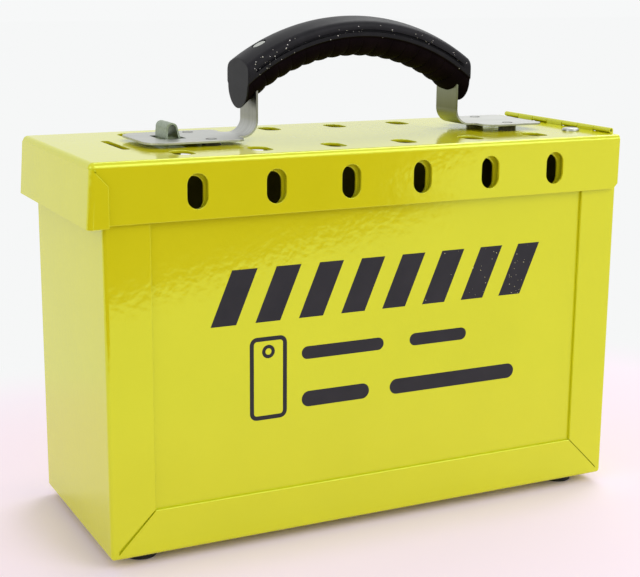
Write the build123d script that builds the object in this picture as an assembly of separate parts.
"""Group lockout box: a small portable lock box of bent steel sheet with a carrying handle.

Lengths are in millimetres. The pieces are drawn in the box's own frame: x from the outer face
of the left end wall, y from the middle of the depth (the front is at negative y), z from the
underside of the body. place() then moves each piece so that the origin is under the middle
of the whole object, on the surface that the feet stand on.
"""

import os
from math import asin, cos, sin, tan

from build123d import *

# Body: one folded sheet makes the bottom, the two ends and their flanges.
body_length = 228.6
body_depth = 90.0
box_height = 152.4
sheet = 1.2
bend_radius = 2.2
body_bend = 1.6
flange_width = 18.0
mitre_gap = 0.4
mitre_mouth = 1.3
mitre_stop = 3.0
panel_edge_gap = 1.3
wall_gap_under_lid = 0.3

# Lid: a folded sheet with skirts in front, behind and, splayed, on the left.
lid_side_gap = 0.7
skirt_drop = 23.05
skirt_end_gap = 0.7
skirt_corner = 2.2
corner_relief = 2.4
left_skirt_offset = 4.8
left_skirt_flare = 1.7
left_skirt_drop = 23.8
tab_gap = 0.05
tab_reach = 1.7
tab_top_drop = 2.0
tab_slope_drop = 8.5

# Padlock holes, in front, behind and in two rows on top.
slot_count = 6
slot_pitch = 31.75
slot_width = 8.2
slot_length = 13.2
slot_row_shift = 1.0
slot_row_drop = 12.4
panel_slot_shift = 0.7
panel_slot_lower = 1.3
top_row_inset = 14.0

# Key slot and finger loop on the left part of the lid.
key_slot_x = 20.0
key_slot_width = 3.5
key_slot_length = 30.0
loop_step = 35.0
loop_span = 6.1
loop_top_span = 4.2
loop_lean = 0.55
loop_bend = 1.9
loop_knee_bend = 1.5
loop_width = 12.4
loop_strip = 0.8
loop_height = 8.4
loop_slot_play = 0.1
loop_slot_corner = 1.1
loop_slot_end = 1.1
loop_stake = 0.5

# Hinge on the right end wall, with its barrel standing on the lid.
barrel_diameter = 2.2
leaf_sheet = 0.8
barrel_length = 80.0
knuckle_count = 7
knuckle_gap = 0.3
pin_diameter = 1.2
pin_clearance = 0.03
pin_recess = 0.8
body_leaf_drop = 16.0
lid_leaf_length = 18.0
leaf_top_gap = 0.3
hinge_notch_side = 0.6
hinge_rivet_spread = 25.3
body_rivet_drop = 9.4
lid_rivet_inset = 10.8
hinge_rivet_head = 7.5
hinge_rivet_rise = 1.25
hinge_rivet_shank = 4.0
rivet_tail_rise = 1.0
rivet_clearance = 0.05

# Handle: one bent steel strap whose two foot plates stand off the lid on spacers.
strap_sheet = 0.9
strap_width = 16.5
strap_bend = 6.8
handle_shift = 9.0
leg_inset = 5.0
plate_step = 8.8
plate_width = 37.0
left_plate_length = 40.75
left_plate_gap = 1.4
left_plate_corner = 7.0
left_plate_shoulder = 4.0
right_plate_length = 29.35
right_plate_gap = 2.4
right_plate_corner = 3.5
right_plate_shoulder = 7.0
left_rivet_step = 21.7
right_rivet_step = 23.0
handle_rivet_spread = 13.0
handle_rivet_head = 5.6
handle_rivet_shank = 4.0
spacer_diameter = 7.6
washer_diameter = 8.4
washer_sheet = 0.8

# Grip: two moulded halves round the strap's arch, with concentric outlines.
grip_length = 103.5
grip_width = 22.0
grip_crest_height = 48.9
crest_radius = 89.5
grip_crown = 1.2
grip_edge = 3.2
seam_depth = 5.8
grip_side = 3.0
grip_belly = 7.4
arch_depth = 6.7
arch_run_out = 6.3
arch_corner = 6.0
strap_clearance = 0.15
seam_gap = 0.1
rib_pitch = 6.5
rib_depth = 0.7
rib_round = 3.0
rib_count = 13
grip_screw_step = 4.3
grip_screw_head = 6.0
grip_screw_rise = 2.0
grip_screw_sink = 0.3
grip_screw_shank = 3.0
grip_screw_length = 11.0
grip_screw_side = 0.5

# Slide bolt under the lid, moved by the finger loop.
bolt_sheet = 1.5
bolt_play = 0.3
bolt_travel = 2.2
bolt_start = 4.6
bolt_wide_end = 34.0
bolt_wide_half = 20.0
bolt_tail_reach = 26.1
bolt_tail_half = 8.0
bolt_window_side = 5.2
bolt_window_end = 1.0
bolt_bend = 1.6
nose_half_width = 7.0
nose_drop = 8.4
nose_back = 0.55
nose_window_side = 0.8
nose_window_height = 0.65
stake_clearance = 0.03
guide_sheet = 1.0
guide_width = 6.0
guide_side_play = 0.6
guide_foot = 4.6
guide_nose_gap = 1.0
right_guide_step = 23.6

# Feet.
foot_diameter = 12.5
foot_height = 4.0
foot_chamfer = 0.5
foot_inset_x = 15.5
foot_inset_y = 12.0
foot_recess = 6.4
foot_recess_depth = 2.0
foot_rivet_head = 5.6
foot_rivet_rise = 1.1
foot_rivet_shank = 3.0

# Places that follow from the sizes above.
half_depth = body_depth / 2
lid_under = box_height - sheet
body_top = lid_under - wall_gap_under_lid
panel_face = half_depth - sheet
skirt_inner = half_depth + lid_side_gap
skirt_outer = skirt_inner + sheet
skirt_bottom = box_height - skirt_drop
tab_outer = skirt_outer + tab_gap + sheet
left_skirt_bottom = box_height - left_skirt_drop
slot_middle_x = body_length / 2 + slot_row_shift
slot_row_z = box_height - slot_row_drop
top_row_y = half_depth - top_row_inset
barrel_radius = barrel_diameter / 2
axis_x = body_length + leaf_sheet - barrel_radius
axis_z = box_height + barrel_radius
leaf_half = barrel_length / 2
riser_x = axis_x - barrel_radius
lid_leaf_under = lid_under - leaf_sheet
lid_end = riser_x - leaf_top_gap
body_rivet_z = box_height - body_rivet_drop
lid_rivet_x = body_length - lid_rivet_inset
handle_x = body_length / 2 + handle_shift
leg_spread = grip_length / 2 - leg_inset
left_leg = handle_x - leg_spread
right_leg = handle_x + leg_spread
plate_neck = plate_step - strap_bend
left_plate_end = left_leg - plate_step
left_plate_start = left_plate_end - left_plate_length
right_plate_start = right_leg + plate_step
right_plate_end = right_plate_start + right_plate_length
left_rivet_x = left_leg - left_rivet_step
right_rivet_x = right_leg + right_rivet_step
loop_x = left_leg - loop_step
bolt_tail_end = loop_x + bolt_tail_reach
right_guide_x = loop_x + right_guide_step
left_guide_x = bolt_start + bolt_sheet + bolt_travel + guide_nose_gap + guide_width / 2
grip_screw_spread = leg_spread - grip_screw_step
left_plate_under = box_height + left_plate_gap
right_plate_under = box_height + right_plate_gap
arc_z = box_height + grip_crest_height - crest_radius
seam_radius = crest_radius - seam_depth
belly_radius = seam_radius - grip_side - grip_belly
arch_radius = crest_radius - arch_depth
bolt_top = lid_under - bolt_play
bolt_under = bolt_top - bolt_sheet
nose_z = bolt_top - nose_drop
hinge_rivet_reach = body_length + leaf_sheet + hinge_rivet_rise
left_reach = left_skirt_offset + left_skirt_flare
centre_x = (hinge_rivet_reach - left_reach) / 2


def place(shape):
    """Move a piece from the box's frame to the part's own frame."""
    return Pos(-centre_x, 0, foot_height) * shape


def block(x0, x1, y0, y1, z0, z1):
    """Box between two corners."""
    return Pos((x0 + x1) / 2, (y0 + y1) / 2, (z0 + z1) / 2) * Box(x1 - x0, y1 - y0, z1 - z0)


def rod(radius, start, end):
    """Cylinder from one point to another."""
    way = Vector(end) - Vector(start)
    bottom = (Align.CENTER, Align.CENTER, Align.MIN)
    return Plane(origin=start, z_dir=way) * Cylinder(radius, way.length, align=bottom)


def xz_prism(points, half_width):
    """Solid whose outline in the XZ plane is a polygon, centred on y = 0."""
    face = make_face(Polyline(*points, close=True))
    return extrude(Plane.XZ * face, half_width, both=True)


def xz_strip(points, radii, thickness, half_width):
    """Bent sheet strip whose middle line runs in the XZ plane, centred on y = 0."""
    line = FilletPolyline(*points, radius=radii)
    return extrude(Plane.XZ * trace(line, thickness), half_width, both=True)


def yz_strip(points, radii, thickness, x0, x1):
    """Bent sheet strip whose middle line runs in the YZ plane, from x0 to x1."""
    line = FilletPolyline(*points, radius=radii)
    return Pos(x0, 0, 0) * extrude(Plane.YZ * trace(line, thickness), x1 - x0)


def slot_places():
    """Middle of each padlock hole along the box."""
    first = slot_middle_x - slot_pitch * (slot_count - 1) / 2
    return [first + slot_pitch * n for n in range(slot_count)]


def upright_slots(y, depth):
    """Cutters for a row of padlock holes in an upright sheet at y."""
    slot = extrude(Plane.XZ * Rot(0, 0, 90) * SlotOverall(slot_length, slot_width), depth, both=True)
    return [Pos(x, y, slot_row_z) * slot for x in slot_places()]


def foot_places():
    """Name, x and y of each foot."""
    for end_name, y in (("front", -half_depth + foot_inset_y), ("back", half_depth - foot_inset_y)):
        for side_name, x in (("left", foot_inset_x), ("right", body_length - foot_inset_x)):
            yield f"{end_name}_{side_name}", x, y


def open_box(x0, x1, half_y, z0, z1, radius):
    """Block with its upright and bottom edges rounded."""
    solid = block(x0, x1, -half_y, half_y, z0, z1)
    edges = solid.edges().filter_by(Axis.Z) + solid.edges().group_by(Axis.Z)[0]
    return fillet(edges, radius)


def mitre_slit(x_corner, x_way, mouth):
    """Tapered slit from a window corner towards the box's lower corner, at 45 degrees."""
    length = flange_width - mitre_stop
    inner = mitre_gap / 2 * 2 ** 0.5
    outer = mouth / 2 * 2 ** 0.5
    x_end = x_corner + x_way * length
    z_end = flange_width - length
    points = [(x_corner, flange_width + inner), (x_corner, flange_width - inner)]
    points += [(x_end, z_end - outer), (x_end, z_end + outer)]
    return xz_prism(points, body_depth)


def body_shell():
    """Bottom, ends and flanges, folded from one sheet, open in front, behind and on top."""
    shell = open_box(0, body_length, half_depth, 0, body_top, body_bend)
    above = body_top + sheet
    shell -= open_box(sheet, body_length - sheet, panel_face, sheet, above, body_bend - sheet)
    window_end = body_length - flange_width
    shell -= block(flange_width, window_end, -body_depth, body_depth, flange_width, above)
    shell -= mitre_slit(flange_width, -1, mitre_mouth)
    shell -= mitre_slit(window_end, 1, mitre_gap)
    wall_top = lid_leaf_under - leaf_top_gap
    notch_half = leaf_half + hinge_notch_side
    shell -= block(body_length - 2 * sheet, body_length + sheet, -notch_half, notch_half, wall_top, above)
    window_half = nose_half_width + nose_window_side
    window_low = nose_z - bolt_sheet / 2 - nose_window_height
    window_high = nose_z + bolt_sheet / 2 + nose_window_height
    shell -= block(-sheet, 2 * sheet, -window_half, window_half, window_low, window_high)
    for y in (-hinge_rivet_spread, hinge_rivet_spread):
        hole = hinge_rivet_shank / 2 + rivet_clearance
        start = (body_length - 2 * sheet, y, body_rivet_z)
        shell -= rod(hole, start, (body_length + sheet, y, body_rivet_z))
    for _, x, y in foot_places():
        shell -= rod(foot_rivet_shank / 2 + rivet_clearance, (x, y, -sheet), (x, y, 2 * sheet))
    return shell


def side_panel(way):
    """Flat sheet behind the flanges, in front (way -1) or behind (way 1)."""
    edge = sheet + panel_edge_gap
    near, far = sorted((way * panel_face, way * (panel_face - sheet)))
    panel = block(edge, body_length - edge, near, far, edge, body_top)
    slots = upright_slots(way * panel_face, 2 * sheet)
    return panel - [Pos(-panel_slot_shift, 0, -panel_slot_lower) * slot for slot in slots]


def left_line(z):
    """Outer face of the splayed left skirt at height z."""
    return -left_skirt_offset - left_skirt_flare * (box_height - z) / left_skirt_drop


def left_cap(shrink, half_width, radius):
    """Solid block behind the left skirt and its tabs, smaller by shrink on the left."""
    top = box_height - bend_radius
    reach = tab_reach + shrink
    points = [(left_line(top) + shrink, top), (reach, top)]
    points += [(reach, left_skirt_bottom), (left_line(left_skirt_bottom) + shrink, left_skirt_bottom)]
    solid = xz_prism(points, half_width)
    corners = solid.edges().filter_by(GeomType.LINE).filter_by(Axis.Y, reverse=True).group_by(Axis.X)[0]
    return fillet(corners, radius)


def left_skirt():
    """Splayed skirt with the tabs that wrap round the front and back skirts."""
    skirt = left_cap(0, tab_outer, bend_radius)
    skirt -= left_cap(sheet, tab_outer - sheet, bend_radius - sheet)
    slope_top = box_height - tab_top_drop
    slope_low = box_height - tab_slope_drop
    far = 4 * tab_outer
    left = left_line(slope_top) + sheet / 2
    points = [(left, slope_top), (tab_reach, slope_low), (far, slope_low), (far, far)]
    points += [(-far, far), (-far, slope_top)]
    over = xz_prism(points, far)
    keep = skirt_outer - bend_radius
    over -= block(-2 * far, 2 * far, -keep, keep, 0, 2 * far)
    return skirt - over


def lid_shell():
    """Lid: top with front, back and left skirts, folded from one sheet."""
    middle_z = box_height - sheet / 2
    fold = bend_radius - sheet / 2
    side = skirt_outer - sheet / 2
    corner_x = left_line(box_height) + sheet / 2
    low_x = left_line(left_skirt_bottom) + sheet / 2
    ridge = [(lid_end, middle_z), (corner_x, middle_z), (low_x, left_skirt_bottom)]
    lid = xz_strip(ridge, fold, sheet, skirt_outer - bend_radius)
    channel = [(-side, skirt_bottom), (-side, middle_z), (side, middle_z), (side, skirt_bottom)]
    skirt_end = body_length - skirt_end_gap
    lid += yz_strip(channel, fold, sheet, left_line(box_height) + corner_relief, skirt_end)
    lid += left_skirt()
    notch_half = leaf_half + hinge_notch_side
    lid -= block(lid_end, body_length, -notch_half, notch_half, lid_leaf_under, box_height + sheet)
    corner = [(skirt_end - skirt_corner, skirt_bottom), (skirt_end, skirt_bottom + skirt_corner)]
    corner += [(skirt_end + skirt_corner, skirt_bottom - skirt_corner)]
    lid -= xz_prism(corner, body_depth)
    return lid - lid_holes()


def lid_holes():
    """Cutters for the padlock holes, the key slot, the loop's slot and the rivets."""
    cutters = upright_slots(-skirt_inner, 2 * sheet) + upright_slots(skirt_inner, 2 * sheet)
    padlock = extrude(Rot(0, 0, 90) * SlotOverall(slot_length, slot_width), 2 * sheet, both=True)
    rows = (-top_row_y, top_row_y)
    cutters += [Pos(x, y, lid_under) * padlock for y in rows for x in slot_places()]
    key = extrude(Rot(0, 0, 90) * SlotOverall(key_slot_length, key_slot_width), 2 * sheet, both=True)
    cutters.append(Pos(key_slot_x, 0, lid_under) * key)
    cutters.append(loop_slot())
    hole = handle_rivet_shank / 2 + rivet_clearance
    for x, y in handle_rivet_places():
        cutters.append(rod(hole, (x, y, lid_under - sheet), (x, y, box_height + sheet)))
    hole = hinge_rivet_shank / 2 + rivet_clearance
    for y in (-hinge_rivet_spread, hinge_rivet_spread):
        cutters.append(rod(hole, (lid_rivet_x, y, lid_under - sheet), (lid_rivet_x, y, box_height + sheet)))
    return cutters


def loop_slot():
    """Cutter for the slot that the finger loop moves in, through the lid and the handle's plate."""
    half_x = loop_span / 2 + bolt_travel + loop_slot_play
    half_y = loop_width / 2 + loop_slot_end
    above = left_plate_under + 2 * strap_sheet
    cutter = block(loop_x - half_x, loop_x + half_x, -half_y, half_y, lid_under - sheet, above)
    return fillet(cutter.edges().filter_by(Axis.Z), loop_slot_corner)


def handle_rivet_places():
    """x and y of the four rivets that hold the handle."""
    ys = (-handle_rivet_spread, handle_rivet_spread)
    return [(x, y) for x in (left_rivet_x, right_rivet_x) for y in ys]


def plate_under(x):
    """Underside of the handle's foot plate at x."""
    return left_plate_under if x < handle_x else right_plate_under


def foot_plate(edge, neck, under, corner, shoulder):
    """Foot plate from its free edge to its neck, with rounded shoulders and a short neck."""
    way = 1 if neck > edge else -1
    neck_end = neck + way * plate_neck
    outline = Pos((edge + neck) / 2, 0) * Rectangle(abs(neck - edge), plate_width)
    outline += Pos((edge + neck_end) / 2, 0) * Rectangle(abs(neck_end - edge), strap_width)
    ends = outline.vertices().sort_by(Axis.X, reverse=way < 0)
    outline = fillet(ends[:2], corner)
    for side in (0, -1):
        row = outline.vertices().group_by(Axis.Y)[side]
        outline = fillet(row.sort_by(Axis.X)[-1 if way > 0 else 0], shoulder)
    inside = [v for v in outline.vertices() if abs(v.Y) < strap_width * 0.6]
    notches = sorted(inside, key=lambda v: abs(v.X - neck))[:2]
    outline = fillet(notches, plate_neck * 0.9)
    return Pos(0, 0, under) * extrude(outline, strap_sheet)


def arch_line():
    """Middle line of the strap from one foot plate over the arch to the other."""
    slope = asin((leg_spread - arch_run_out) / arch_radius)
    apex = arc_z + arch_radius / cos(slope)
    knee = apex - leg_spread * tan(slope)
    left_z = left_plate_under + strap_sheet / 2
    right_z = right_plate_under + strap_sheet / 2
    points = [(left_plate_end - plate_neck, left_z), (left_leg, left_z), (left_leg, knee)]
    points += [(handle_x, apex), (right_leg, knee), (right_leg, right_z)]
    points.append((right_plate_start + plate_neck, right_z))
    fold = strap_bend - strap_sheet / 2
    return points, [fold, arch_corner, arch_radius, arch_corner, fold]


def handle_strap():
    """Steel strap: two foot plates, two legs and the arch inside the grip."""
    points, radii = arch_line()
    strap = xz_strip(points, radii, strap_sheet, strap_width / 2)
    left_form = (left_plate_under, left_plate_corner, left_plate_shoulder)
    right_form = (right_plate_under, right_plate_corner, right_plate_shoulder)
    strap += foot_plate(left_plate_start, left_plate_end, *left_form)
    strap += foot_plate(right_plate_end, right_plate_start, *right_form)
    strap -= loop_slot()
    for x, y in handle_rivet_places():
        under = plate_under(x)
        strap -= rivet_head(x, y, under + strap_sheet, rivet_clearance)
        hole = handle_rivet_shank / 2 + rivet_clearance
        strap -= rod(hole, (x, y, under - sheet), (x, y, under + 2 * strap_sheet))
    for way in (-1, 1):
        strap -= screw_rod(way, grip_screw_shank / 2 + grip_screw_side, crest_radius, belly_radius)
    return strap


def rivet_head(x, y, top, side):
    """Flush head of a handle rivet, side wider all round."""
    rise = strap_sheet * 0.6
    wide = handle_rivet_head / 2 + side
    narrow = handle_rivet_shank / 2 + side
    return Pos(x, y, top - rise / 2) * Cone(narrow, wide, rise)


def handle_rivets():
    """Four rivets: flush head, shank through spacer and lid, spread tail under the washer."""
    solids = []
    for x, y in handle_rivet_places():
        top = plate_under(x) + strap_sheet
        tail = lid_under - washer_sheet
        rivet = rivet_head(x, y, top, 0)
        rivet += rod(handle_rivet_shank / 2, (x, y, top - strap_sheet * 0.6), (x, y, tail))
        rivet += rod(handle_rivet_head / 2, (x, y, tail), (x, y, tail - rivet_tail_rise))
        solids.append(rivet)
    return solids


def rings(diameter, low, high):
    """Rings round the four handle rivets, between two heights given for each x."""
    solids = []
    for x, y in handle_rivet_places():
        hole = handle_rivet_shank / 2 + rivet_clearance
        ring = rod(diameter / 2, (x, y, low(x)), (x, y, high(x)))
        solids.append(ring - rod(hole, (x, y, low(x) - sheet), (x, y, high(x) + sheet)))
    return solids


def screw_rod(way, radius, outer, inner):
    """Rod along the axis of a grip screw, between two distances from the arc's centre."""
    angle = asin(grip_screw_spread / crest_radius) * way
    start = (handle_x + outer * sin(angle), 0, arc_z + outer * cos(angle))
    end = (handle_x + inner * sin(angle), 0, arc_z + inner * cos(angle))
    return rod(radius, start, end)


def farness(edge, point):
    """Distance of a round edge's centre from a point."""
    return (edge.arc_center - point).length


def grip_screws():
    """Two pan-head screws from the crest through the strap into the lower half."""
    head_top = crest_radius - grip_screw_sink
    head_under = head_top - grip_screw_rise
    arc_middle = Vector(handle_x, 0, arc_z)
    solids = []
    for way in (-1, 1):
        head = screw_rod(way, grip_screw_head / 2, head_top, head_under)
        rim = head.edges().filter_by(GeomType.CIRCLE).sort_by(lambda edge: farness(edge, arc_middle))[-1]
        head = fillet(rim, grip_screw_rise / 3)
        shank = screw_rod(way, grip_screw_shank / 2, head_under, head_under - grip_screw_length)
        solids.append(head + shank)
    return solids


def bend_round(section, half):
    """Sweep a section about the handle's arc and trim it to upright end faces."""
    half_angle = 45
    ring = revolve(section, Axis.Y, 2 * half_angle)
    ring = Pos(handle_x, 0, arc_z) * Rot(0, -half_angle, 0) * ring
    top = box_height + 2 * grip_crest_height
    trimmed = ring & block(handle_x - half, handle_x + half, -grip_width, grip_width, box_height, top)
    return trimmed.solids()[0]


def strap_room():
    """Cutters for the channel that the strap lies in, open towards the seam."""
    points, radii = arch_line()
    room = strap_sheet / 2 + strap_clearance
    half = strap_width / 2 + strap_clearance
    low = arch_radius - room
    trough = Plane.YZ * Pos(0, (low + crest_radius) / 2) * Rectangle(2 * half, crest_radius - low)
    reach = leg_spread + room
    return [xz_strip(points, radii, 2 * room, half), bend_round(trough, reach)]


def grip_upper():
    """Upper half of the grip, with a crowned top and sunk seats for the screws."""
    half = grip_width / 2
    low = seam_radius + seam_gap / 2
    shoulder = crest_radius - grip_crown
    outline = Polyline((-half, shoulder), (-half, low), (half, low), (half, shoulder))
    outline += ThreePointArc((half, shoulder), (0, crest_radius), (-half, shoulder))
    section = Plane.YZ * make_face(outline)
    section = fillet(section.vertices().group_by(Axis.Z)[-1], grip_edge)
    seat = crest_radius - grip_screw_sink - grip_screw_rise
    holes = []
    for way in (-1, 1):
        hole = screw_rod(way, grip_screw_head / 2 + grip_screw_side, crest_radius + grip_crown, seat)
        hole += screw_rod(way, grip_screw_shank / 2 + rivet_clearance, crest_radius, belly_radius)
        holes.append(hole)
    return bend_round(section, grip_length / 2) - holes


def grip_lower():
    """Lower half of the grip, with a rounded belly and shallow finger ribs."""
    high = seam_radius - seam_gap / 2
    side_low = seam_radius - grip_side
    section = Pos(0, (high + side_low) / 2) * Rectangle(grip_width, high - side_low)
    section += Pos(0, side_low) * Ellipse(grip_width / 2, grip_belly)
    section -= Pos(0, high + grip_belly) * Rectangle(2 * grip_width, 2 * grip_belly)
    lower = bend_round(Plane.YZ * section, grip_length / 2) - strap_room()
    for n in range(rib_count):
        angle = (n - (rib_count - 1) / 2) * rib_pitch / belly_radius
        reach = belly_radius - rib_round + rib_depth
        x = handle_x + reach * sin(angle)
        z = arc_z + reach * cos(angle)
        lower -= rod(rib_round, (x, -grip_width, z), (x, grip_width, z))
    shank_end = crest_radius - grip_screw_sink - grip_screw_rise - grip_screw_length
    for way in (-1, 1):
        lower -= screw_rod(way, grip_screw_shank / 2 + rivet_clearance, crest_radius, shank_end)
    return lower


def loop_leg_slots():
    """Cutters for the two slots in the bolt that the loop's legs are staked into."""
    half_x = loop_strip / 2 + stake_clearance
    half_y = loop_width / 2 + stake_clearance
    legs = [loop_x + way * (loop_span - loop_strip) / 2 for way in (-1, 1)]
    low = bolt_under - bolt_sheet
    return [block(x - half_x, x + half_x, -half_y, half_y, low, bolt_top + sheet) for x in legs]


def finger_loop():
    """Strip bent to a loop with splayed sides, which sticks up through the plate to move the bolt."""
    half = (loop_span - loop_strip) / 2
    top_half = (loop_top_span - loop_strip) / 2
    top = box_height + loop_height - loop_strip / 2
    knee = left_plate_under + strap_sheet
    foot = bolt_under - loop_stake
    points = [(loop_x - half, foot), (loop_x - half, knee)]
    points += [(loop_x - loop_lean - top_half, top), (loop_x - loop_lean + top_half, top)]
    points += [(loop_x + half, knee), (loop_x + half, foot)]
    radii = [loop_knee_bend, loop_bend, loop_bend, loop_knee_bend]
    return xz_strip(points, radii, loop_strip, loop_width / 2)


def slide_bolt():
    """Flat bolt under the lid, with a nose bent down and out at its left end."""
    wide_start = bolt_start + bolt_sheet
    wide = block(wide_start, bolt_wide_end, -bolt_wide_half, bolt_wide_half, bolt_under, bolt_top)
    wide = fillet(wide.edges().filter_by(Axis.Z), bend_radius)
    window_x = (key_slot_x - bolt_window_side, key_slot_x + bolt_window_side)
    window_half = key_slot_length / 2 + bolt_window_end
    wide -= block(*window_x, -window_half, window_half, bolt_under - sheet, bolt_top + sheet)
    tail_start = bolt_wide_end - bend_radius
    tail = block(tail_start, bolt_tail_end, -bolt_tail_half, bolt_tail_half, bolt_under, bolt_top)
    middle = (bolt_top + bolt_under) / 2
    upright = bolt_start + bolt_sheet / 2
    nose = [(upright + 2 * bolt_bend, middle), (upright, middle), (upright, nose_z)]
    nose.append((sheet + nose_back, nose_z))
    return wide + tail + xz_strip(nose, bolt_bend, bolt_sheet, nose_half_width) - loop_leg_slots()


def bolt_guide(x, inner_half):
    """Hat-shaped guide under the lid that the bolt slides through."""
    side = inner_half + guide_side_play + guide_sheet / 2
    foot_z = lid_under - guide_sheet / 2
    bridge_z = bolt_under - bolt_play - guide_sheet / 2
    far = side + guide_foot
    points = [(-far, foot_z), (-side, foot_z), (-side, bridge_z)]
    points += [(side, bridge_z), (side, foot_z), (far, foot_z)]
    fold = (foot_z - bridge_z) * 0.4
    return yz_strip(points, fold, guide_sheet, x - guide_width / 2, x + guide_width / 2)


def knuckle_spans(first):
    """y range of every other knuckle, from the knuckle numbered first."""
    pitch = (barrel_length + knuckle_gap) / knuckle_count
    starts = [-leaf_half + pitch * n for n in range(first, knuckle_count, 2)]
    return [(y, y + pitch - knuckle_gap) for y in starts]


def knuckles(first, riser_low, riser_x0):
    """Every other knuckle of the barrel, each with the riser that carries it."""
    solids = []
    for y0, y1 in knuckle_spans(first):
        solids.append(rod(barrel_radius, (axis_x, y0, axis_z), (axis_x, y1, axis_z)))
        solids.append(block(riser_x0, riser_x0 + leaf_sheet, y0, y1, riser_low, axis_z))
    return solids


def pin_bore():
    """Cutter for the bore through the barrel."""
    bore = pin_diameter / 2 + pin_clearance
    return rod(bore, (axis_x, -body_depth, axis_z), (axis_x, body_depth, axis_z))


def hinge_body_leaf():
    """Leaf riveted to the outside of the right end wall, with the odd knuckles."""
    low = box_height - body_leaf_drop
    top = axis_z - barrel_radius - leaf_top_gap
    leaf = block(body_length, body_length + leaf_sheet, -leaf_half, leaf_half, low, top)
    leaf += knuckles(0, low, body_length)
    leaf -= pin_bore()
    for y in (-hinge_rivet_spread, hinge_rivet_spread):
        hole = hinge_rivet_shank / 2 + rivet_clearance
        start = (body_length - sheet, y, body_rivet_z)
        leaf -= rod(hole, start, (body_length + 2 * sheet, y, body_rivet_z))
    return leaf


def hinge_lid_leaf():
    """Leaf riveted under the lid, with the even knuckles."""
    leaf = block(body_length - lid_leaf_length, lid_end, -leaf_half, leaf_half, lid_leaf_under, lid_under)
    for y0, y1 in knuckle_spans(1):
        leaf += block(lid_end - sheet, riser_x + leaf_sheet, y0, y1, lid_leaf_under, lid_under)
    leaf += knuckles(1, lid_leaf_under, riser_x)
    leaf -= pin_bore()
    for y in (-hinge_rivet_spread, hinge_rivet_spread):
        hole = hinge_rivet_shank / 2 + rivet_clearance
        leaf -= rod(hole, (lid_rivet_x, y, lid_leaf_under - sheet), (lid_rivet_x, y, box_height))
    return leaf


def hinge_pin():
    """Pin through the barrel, a little shorter than it."""
    half = leaf_half - pin_recess
    return rod(pin_diameter / 2, (axis_x, -half, axis_z), (axis_x, half, axis_z))


def hinge_rivet(seat, way, grip):
    """Round-head rivet: seat is the point under its head, way points out of the head."""
    seat = Vector(seat)
    way = Vector(way)
    bottom = (Align.CENTER, Align.CENTER, Align.MIN)
    head = Plane(origin=seat, z_dir=way) * Cylinder(hinge_rivet_head / 2, hinge_rivet_rise, align=bottom)
    rim = head.edges().filter_by(GeomType.CIRCLE).sort_by(lambda edge: farness(edge, seat))[-1]
    head = fillet(rim, hinge_rivet_rise * 0.8)
    tail = seat - way * grip
    shank = rod(hinge_rivet_shank / 2, seat, tail)
    return head + shank + rod(hinge_rivet_shank * 0.7, tail, tail - way * rivet_tail_rise)


def hinge_rivets(on_lid):
    """The two rivets of one hinge leaf."""
    grip = sheet + leaf_sheet
    ys = (-hinge_rivet_spread, hinge_rivet_spread)
    if on_lid:
        return [hinge_rivet((lid_rivet_x, y, box_height), (0, 0, 1), grip) for y in ys]
    return [hinge_rivet((body_length + leaf_sheet, y, body_rivet_z), (1, 0, 0), grip) for y in ys]


def rubber_foot(x, y):
    """Round rubber foot with a sunk hole for its rivet."""
    foot = rod(foot_diameter / 2, (x, y, -foot_height), (x, y, 0))
    foot = fillet(foot.edges().group_by(Axis.Z)[0], foot_chamfer)
    foot -= rod(foot_recess / 2, (x, y, -foot_height - sheet), (x, y, foot_recess_depth - foot_height))
    return foot - rod(foot_rivet_shank / 2 + rivet_clearance, (x, y, -foot_height), (x, y, sheet))


def foot_rivets():
    """Rivets that hold the feet, with their tails inside the body."""
    solids = []
    for _, x, y in foot_places():
        seat = foot_recess_depth - foot_height
        rivet = rod(foot_rivet_head / 2, (x, y, seat - foot_rivet_rise), (x, y, seat))
        rivet += rod(foot_rivet_shank / 2, (x, y, seat), (x, y, sheet))
        rivet += rod(foot_rivet_head / 2, (x, y, sheet), (x, y, sheet + rivet_tail_rise))
        solids.append(rivet)
    return solids


def pieces():
    """Every node of the part, by name."""
    nodes = {
        "body_shell": body_shell(),
        "front_panel": side_panel(-1),
        "back_panel": side_panel(1),
        "hinge_body_leaf": hinge_body_leaf(),
        "hinge_pin": hinge_pin(),
        "hinge_body_rivets": hinge_rivets(False),
        "foot_rivets": foot_rivets(),
        "lid_shell": lid_shell(),
        "hinge_lid_leaf": hinge_lid_leaf(),
        "hinge_lid_rivets": hinge_rivets(True),
        "handle_strap": handle_strap(),
        "handle_spacers": rings(spacer_diameter, lambda x: box_height, plate_under),
        "handle_backing_washers": rings(
            washer_diameter, lambda x: lid_under - washer_sheet, lambda x: lid_under
        ),
        "handle_rivets": handle_rivets(),
        "grip_upper": grip_upper(),
        "grip_lower": grip_lower(),
        "grip_screws": grip_screws(),
        "bolt_guide_left": bolt_guide(left_guide_x, bolt_wide_half),
        "bolt_guide_right": bolt_guide(right_guide_x, bolt_tail_half),
        "slide_bolt": slide_bolt(),
        "finger_loop": finger_loop(),
    }
    for name, x, y in foot_places():
        nodes[f"rubber_foot_{name}"] = rubber_foot(x, y)
    return nodes


os.makedirs("parts", exist_ok=True)
for node, shape in pieces().items():
    if isinstance(shape, list):
        shape = Compound(children=[solid for item in shape for solid in item.solids()])
    export_step(place(shape), f"parts/{node}.step")
